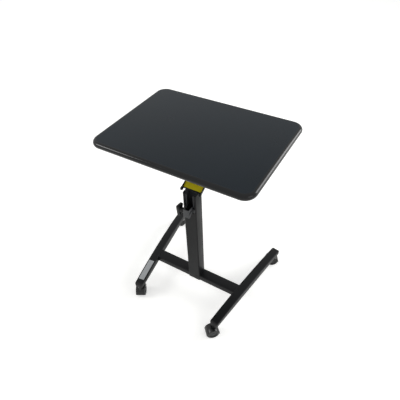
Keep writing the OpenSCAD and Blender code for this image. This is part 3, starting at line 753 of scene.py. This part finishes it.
section = round_box(bar_low.y, bar_low.z, bar_high.y, bar_high.z, 3 * MM, 5)
bm = bmesh.new()
prism(bm, section, 0, 1, lambda u, v, w: Vector((tube_end(u, -1 if w == 0 else 1), u, v)))
keep(bm, "crossbar tube", "base", powder_coat, "crossbar")

# %% [markdown]
# ## The legs
#
# A leg is flat underneath and arched on top, as the photograph's long highlight shows. The arch is an
# arc of a circle through the leg's middle height and its two end heights. Walking along the leg and
# drawing the rounded section at each step gives the tube, and `on_leg` stands it at its splay.

# %% Legs
LEG_W, END_H, MID_H, LEG_EDGE = 36 * MM, 21.5 * MM, 34 * MM, 2.5 * MM
LEG_LENGTH, CAP_T = 494 * MM, 10 * MM
STATIONS = 48
leg_under = low("leg_left").z
leg_mid = {-1: middle("leg_left"), 1: middle("leg_right")}
LEG_TUBE = LEG_LENGTH - 2 * CAP_T
half = LEG_TUBE / 2
arch_r = (half ** 2 + (MID_H - END_H) ** 2) / (2 * (MID_H - END_H))


def arch(v):
    return MID_H - arch_r + math.sqrt(arch_r ** 2 - v * v)


def on_leg(side, u, v, w):
    x, y = side * u, v
    turn = -side * SPLAY
    return Vector((leg_mid[side].x + x * math.cos(turn) - y * math.sin(turn),
                   leg_mid[side].y + x * math.sin(turn) + y * math.cos(turn), leg_under + w))


for side, name in ((-1, "leg_left"), (1, "leg_right")):
    bm = bmesh.new()
    rings = []
    for i in range(STATIONS + 1):
        v = -half + LEG_TUBE * i / STATIONS
        rings.append([bm.verts.new(on_leg(side, u, v, w))
                      for u, w in round_box(-LEG_W / 2, 0, LEG_W / 2, arch(v), LEG_EDGE, 4)])
    walked(bm, rings)
    keep(bm, name.replace("_", " ") + " tube", "base", powder_coat, name)
print("leg:", round(arch(0) / MM, 1), "mm high in the middle,", round(arch(half) / MM, 1), "mm at the ends")

# %% [markdown]
# ## The leg's label
#
# The silver label lies on the arch, so it takes the same height rule, a hair above the steel.

# %% Leg label
LABEL_W, LABEL_L, LABEL_INSET, LIFT = 25 * MM, 105 * MM, 30 * MM, 0.15 * MM
label_start = LABEL_INSET - LEG_LENGTH / 2
bm = bmesh.new()
rings = []
for i in range(13):
    v = label_start + LABEL_L * i / 12
    under, over = arch(v) + LIFT, arch(v) + LIFT + FILM
    section = ((-LABEL_W / 2, under), (LABEL_W / 2, under), (LABEL_W / 2, over), (-LABEL_W / 2, over))
    rings.append([bm.verts.new(on_leg(-1, u, v, w)) for u, w in section])
walked(bm, rings)
keep(bm, "leg label film", "base", silver_film, "leg_label")

# %% [markdown]
# ## End caps
#
# Each leg ends in a moulded cap, 10 mm long, with a plug inside the tube. Its corners are round from
# above and its nose is round from the side. So the cap is walked like the leg: at each step the two
# rounds give the section's half width and height. A step of a hair at its start leaves the thin dark
# seam that shows where steel ends and plastic begins.

# %% End caps
CAP_R, NOSE_R, PLUG, PLUG_START, SEAM = 8 * MM, 8 * MM, 26 * MM, 2 * MM, 0.4 * MM
inset = WALL + 0.15 * MM
plug_half = LEG_W / 2 - inset


def rounded_off(full, radius, v):
    """The part of full that is left at v, where a quarter round of radius ends at the cap's nose."""
    past = max(0.0, v - (CAP_T - radius))
    return full - radius + math.sqrt(max(0.0, radius * radius - past * past))


steps = [0.0, WELD, SEAM] + [CAP_T - NOSE_R * (1 - math.sin(math.pi / 2 * i / 10)) for i in range(11)]
for corner in corner_names:
    side = -1 if corner.endswith("left") else 1
    end = -1 if corner.startswith("front") else 1
    bm = bmesh.new()
    rings = []
    for i, v in enumerate(steps):
        shrink = SEAM if i < 2 else 0.0
        wide = rounded_off(LEG_W / 2, CAP_R, v) - shrink
        tall = rounded_off(END_H, NOSE_R, v) - shrink
        rings.append([bm.verts.new(on_leg(side, u, end * (half + v), w))
                      for u, w in round_box(-wide, shrink, wide, tall, LEG_EDGE, 4)])
    walked(bm, rings)
    prism(bm, [(-plug_half, -PLUG), (plug_half, -PLUG), (plug_half, PLUG_START), (-plug_half, PLUG_START)],
          inset, END_H - inset, lambda u, v, w: on_leg(side, u, end * (half + v), w))
    bmesh.ops.recalc_face_normals(bm, faces=bm.faces)
    keep(bm, "cap " + corner.replace("_", " "), "base", black_nylon, "cap_" + corner)
print("caps:", round(CAP_T / MM), "mm long")

# %% [markdown]
# ## Casters
#
# A twin-wheel caster has a stem in the leg, a hood that swivels on the stem, an axle across the hood
# and a wheel on each side of its rib. Each is turned about the stem's axis or about the axle, so the
# profiles are spun. Where the axle and the stem stand comes from the frame's own joints.

# %% Caster places
HALF_W, HOLLOW_R, HOOD_R, RIB, TRAIL = 20.5 * MM, 25.8 * MM, 28.3 * MM, 3.5 * MM, 10 * MM
BOSS_R, STEM_BORE, RUN_GAP, DISH = 9 * MM, 5.1 * MM, 0.3 * MM, 3 * MM


def caster_place(corner):
    roll, swivel = joints["roll_" + corner + "_b"], joints["swivel_" + corner]
    axle = Vector(roll["pos_m"])
    stem = Vector(swivel["pos_m"])
    stem.z = axle.z
    behind = (stem - axle).normalized()
    across = behind.cross(Vector((0, 0, 1)))
    return axle, across, behind


def caster_frame(corner):
    axle, across, behind = caster_place(corner)
    return lambda x, y, z: axle + across * x + behind * y + Vector((0, 0, z))


print({corner: [round(v, 3) for v in caster_place(corner)[1]] for corner in corner_names})

# %% [markdown]
# The hood is a half shell with a rib in the middle. Its section is spun about the axle as a closed
# ring, then cut level a little below the axle. The boss round the stem is turned and bored.

# %% Hoods
def hood_mesh(corner):
    at = caster_frame(corner)
    bm = bmesh.new()
    edge, bore, hem = 1.2 * MM, 3.2 * MM, 3 * MM
    section = [(-HALF_W, HOLLOW_R), (-HALF_W, HOOD_R - edge), (-HALF_W + edge * 0.3, HOOD_R - edge * 0.3),
               (-HALF_W + edge, HOOD_R), (HALF_W - edge, HOOD_R),
               (HALF_W - edge * 0.3, HOOD_R - edge * 0.3), (HALF_W, HOOD_R - edge), (HALF_W, HOLLOW_R),
               (RIB, HOLLOW_R), (RIB, bore), (-RIB, bore), (-RIB, HOLLOW_R)]
    steps = 96
    rings = []
    for i in range(steps):
        t = 2 * math.pi * i / steps
        rings.append([bm.verts.new((x, r * math.cos(t), r * math.sin(t))) for x, r in section])
    for k in range(steps):
        bridge(bm, rings[k], rings[(k + 1) % steps])
    cut = bmesh.ops.bisect_plane(bm, geom=bm.verts[:] + bm.edges[:] + bm.faces[:], plane_co=(0, 0, -hem),
                                 plane_no=(0, 0, -1), clear_outer=True)
    rim = [e for e in cut["geom_cut"] if isinstance(e, bmesh.types.BMEdge)]
    bmesh.ops.holes_fill(bm, edges=rim, sides=0)
    start = math.degrees(math.asin(hem / BOSS_R))
    prism(bm, arc(0, 0, BOSS_R, 180 + start, 360 - start, 16), -RIB, RIB, along_x)
    bmesh.ops.recalc_face_normals(bm, faces=bm.faces)
    boss_top = high("hood_" + corner).z - middle("axle_" + corner).z
    bore_foot = low("caster_stems").z - middle("axle_" + corner).z - RUN_GAP
    bore_top = boss_top + 9 * MM
    tool = bmesh.new()
    turned(tool, [(0, bore_foot), (STEM_BORE, bore_foot), (STEM_BORE, bore_top), (0, bore_top)], 32,
           lambda x, y, h: Vector((x, TRAIL + y, h)))
    bm = drilled(bm, tool)
    skirt = (HOLLOW_R + HOOD_R) / 2
    turned(bm, [(STEM_BORE, 0), (BOSS_R, 0), (BOSS_R, boss_top - 1 * MM),
                (BOSS_R - 0.3 * MM, boss_top - 0.3 * MM), (BOSS_R - 1 * MM, boss_top),
                (STEM_BORE, boss_top), (STEM_BORE, 0)], 40,
           lambda x, y, h: Vector((x, TRAIL + y, h or math.sqrt(skirt ** 2 - (TRAIL + y) ** 2))))
    bmesh.ops.remove_doubles(bm, verts=bm.verts, dist=WELD / 2)
    bmesh.ops.recalc_face_normals(bm, faces=bm.faces)
    for v in bm.verts:
        v.co = at(*v.co)
    bmesh.ops.recalc_face_normals(bm, faces=bm.faces)
    return bm


for corner in corner_names:
    keep(hood_mesh(corner), "hood " + corner.replace("_", " "), "caster_" + corner, caster_nylon,
         "hood_" + corner, smooth=35)

# %% [markdown]
# A wheel is a moulded disc with a round tread and a dish in its outer face. The dish is deep enough to
# take the low head of the axle. The disc is turned, so its profile is spun about the axle.

# %% Wheels and axles
WHEEL_R, WHEEL_W, ROUND, AXLE_BORE = 25 * MM, 16.5 * MM, 3 * MM, 3.05 * MM
START = RIB + 0.5 * MM


def wheel_profile():
    rim = [(WHEEL_R - ROUND + ROUND * math.sin(t), ROUND - ROUND * math.cos(t))
           for t in (math.pi / 2 * i / 6 for i in range(7))]
    far = [(r, WHEEL_W - h) for r, h in rim[::-1]]
    dish = [(17.6 * MM, WHEEL_W), (17 * MM, WHEEL_W - 0.5 * MM), (16.4 * MM, WHEEL_W - 2.5 * MM),
            (15.8 * MM, WHEEL_W - DISH), (7.6 * MM, WHEEL_W - DISH)]
    bore = [(AXLE_BORE, WHEEL_W - DISH), (AXLE_BORE, 0)]
    return rim + far + dish + bore + [rim[0]]


def axle_profile():
    reach = HALF_W - DISH + 0.3 * MM
    head = [(0, reach + 1.2 * MM), (3.5 * MM, reach + 1.1 * MM), (5.4 * MM, reach + 0.7 * MM),
            (6 * MM, reach + 0.1 * MM), (5.9 * MM, reach), (3 * MM, reach)]
    return head + [(r, -h) for r, h in head[::-1]]


for corner in corner_names:
    at = caster_frame(corner)
    across = caster_place(corner)[1]
    for hand in ("a", "b"):
        node = "wheel_" + corner + "_" + hand
        out_way = 1 if (middle(node) - middle("axle_" + corner)).dot(across) > 0 else -1
        bm = bmesh.new()
        turned(bm, wheel_profile(), 64, lambda x, y, h: at(out_way * (START + h), x, y))
        bmesh.ops.remove_doubles(bm, verts=bm.verts, dist=WELD)
        bmesh.ops.recalc_face_normals(bm, faces=bm.faces)
        keep(bm, "wheel " + corner.replace("_", " ") + " " + hand, "roller_" + corner + "_" + hand,
             wheel_nylon, node, smooth=35)
    bm = bmesh.new()
    turned(bm, axle_profile(), 32, lambda x, y, h: at(h, x, y))
    bmesh.ops.recalc_face_normals(bm, faces=bm.faces)
    keep(bm, "axle pin " + corner.replace("_", " "), "caster_" + corner, black_oxide, "axle_" + corner)
print("casters:", len(corner_names), "with", 2 * len(corner_names), "wheels")

# %% [markdown]
# ## Solids that keep their shape
#
# The board, the bush, the glide, the lock's inside and the stems have the right shape already. They
# only need a finish in their material slots.

# %% Finishes for the solids
finishes = {"table_core": laminate, "top_bush": black_nylon, "foot_glide": natural_nylon,
            "lock_shaft": black_oxide, "lock_cam": black_oxide, "brake_shoe": black_nylon,
            "caster_stems": zinc}
for name, finish in finishes.items():
    mesh = frame["nodes"][name].data
    mesh.materials.clear()
    mesh.materials.append(finish)
print("solids with a finish:", len(finishes))

# %% [markdown]
# ## Floor, light and camera
#
# The floor is plain and pale. It glows a little for the camera, so it reads as white, and the table
# still throws its shadow on it. The strongest light is a large soft panel at the back right, a smaller
# one stands at the front left, and a faint third fills the right side. The camera's place and turn come
# from a fit of the table's edges to the photograph.

# %% Floor
bm = bmesh.new()
bmesh.ops.create_grid(bm, x_segments=1, y_segments=1, size=8.0)
floor_mesh = bpy.data.meshes.new("floor")
bm.to_mesh(floor_mesh)
bm.free()
floor = bpy.data.objects.new("floor", floor_mesh)
scene.collection.objects.link(floor)
floor_paint = bpy.data.materials.new("matt white floor paint")
floor_paint.use_nodes = True
tree = floor_paint.node_tree
tree.nodes.clear()
output = add_node(tree, "ShaderNodeOutputMaterial")
paint = add_node(tree, "ShaderNodeBsdfDiffuse", Color=linear("#f4f4f2"), Roughness=1.0)
glow = add_node(tree, "ShaderNodeEmission", Color=(1, 1, 1, 1), Strength=0.42)
path = add_node(tree, "ShaderNodeLightPath").outputs
ray = add_node(tree, "ShaderNodeMath", {"operation": "MAXIMUM"}, i0=path["Is Camera Ray"],
               i1=path["Is Glossy Ray"])
both = add_node(tree, "ShaderNodeAddShader", i0=paint.outputs[0], i1=glow.outputs[0])
seen = add_node(tree, "ShaderNodeMixShader", Fac=ray.outputs[0], i1=paint.outputs[0], i2=both.outputs[0])
tree.links.new(seen.outputs[0], output.inputs["Surface"])
floor_mesh.materials.append(floor_paint)

# %% World and lamps
world = bpy.data.worlds.new("white studio")
scene.world = world
world.use_nodes = True
tree = world.node_tree
tree.nodes.clear()
output = add_node(tree, "ShaderNodeOutputWorld")
path = add_node(tree, "ShaderNodeLightPath").outputs
shown = add_node(tree, "ShaderNodeMath", {"operation": "MAXIMUM"}, i0=path["Is Camera Ray"],
                 i1=path["Is Glossy Ray"])
shown = add_node(tree, "ShaderNodeMath", {"operation": "MAXIMUM"}, i0=shown.outputs[0],
                 i1=path["Is Transmission Ray"])
level = add_node(tree, "ShaderNodeMapRange", Value=shown.outputs[0])
level.inputs["To Min"].default_value = 0.60
level.inputs["To Max"].default_value = 1.0
sky = add_node(tree, "ShaderNodeBackground", Color=(1, 1, 1, 1), Strength=level.outputs["Result"])
tree.links.new(sky.outputs["Background"], output.inputs["Surface"])


def panel(name, place, aim, size, watts):
    light = bpy.data.lights.new(name, "AREA")
    light.shape = "SQUARE"
    light.size = size
    light.energy = watts
    lamp = bpy.data.objects.new(name, light)
    lamp.location = place
    lamp.rotation_euler = (Vector(aim) - Vector(place)).to_track_quat("-Z", "Y").to_euler()
    scene.collection.objects.link(lamp)
    return lamp


panel("back right panel", (1.9, 1.85, 1.6), (0, 0, 0.5), 1.4, 40)
panel("front left panel", (-2.3, -1.75, 2.3), (0, 0, 0.5), 1.0, 24)
panel("right fill", (2.4, -0.8, 1.6), (0, 0, 0.4), 1.4, 7)

# %% Camera
camera_data = bpy.data.cameras.new("camera")
camera_data.sensor_width = 36
camera_data.lens = 34.4345
camera_data.clip_end = 50
camera = bpy.data.objects.new("camera", camera_data)
camera.location = (0.581636, middle("crossbar").y - 0.875311, 1.511941)
yaw, pitch, roll = 0.561, 0.751, -0.040
camera.rotation_euler = (Matrix.Rotation(yaw, 3, "Z") @ Matrix.Rotation(math.pi / 2 - pitch, 3, "X")
                         @ Matrix.Rotation(roll, 3, "Z")).to_euler()
scene.collection.objects.link(camera)
scene.camera = camera
scene.view_settings.view_transform = "Standard"
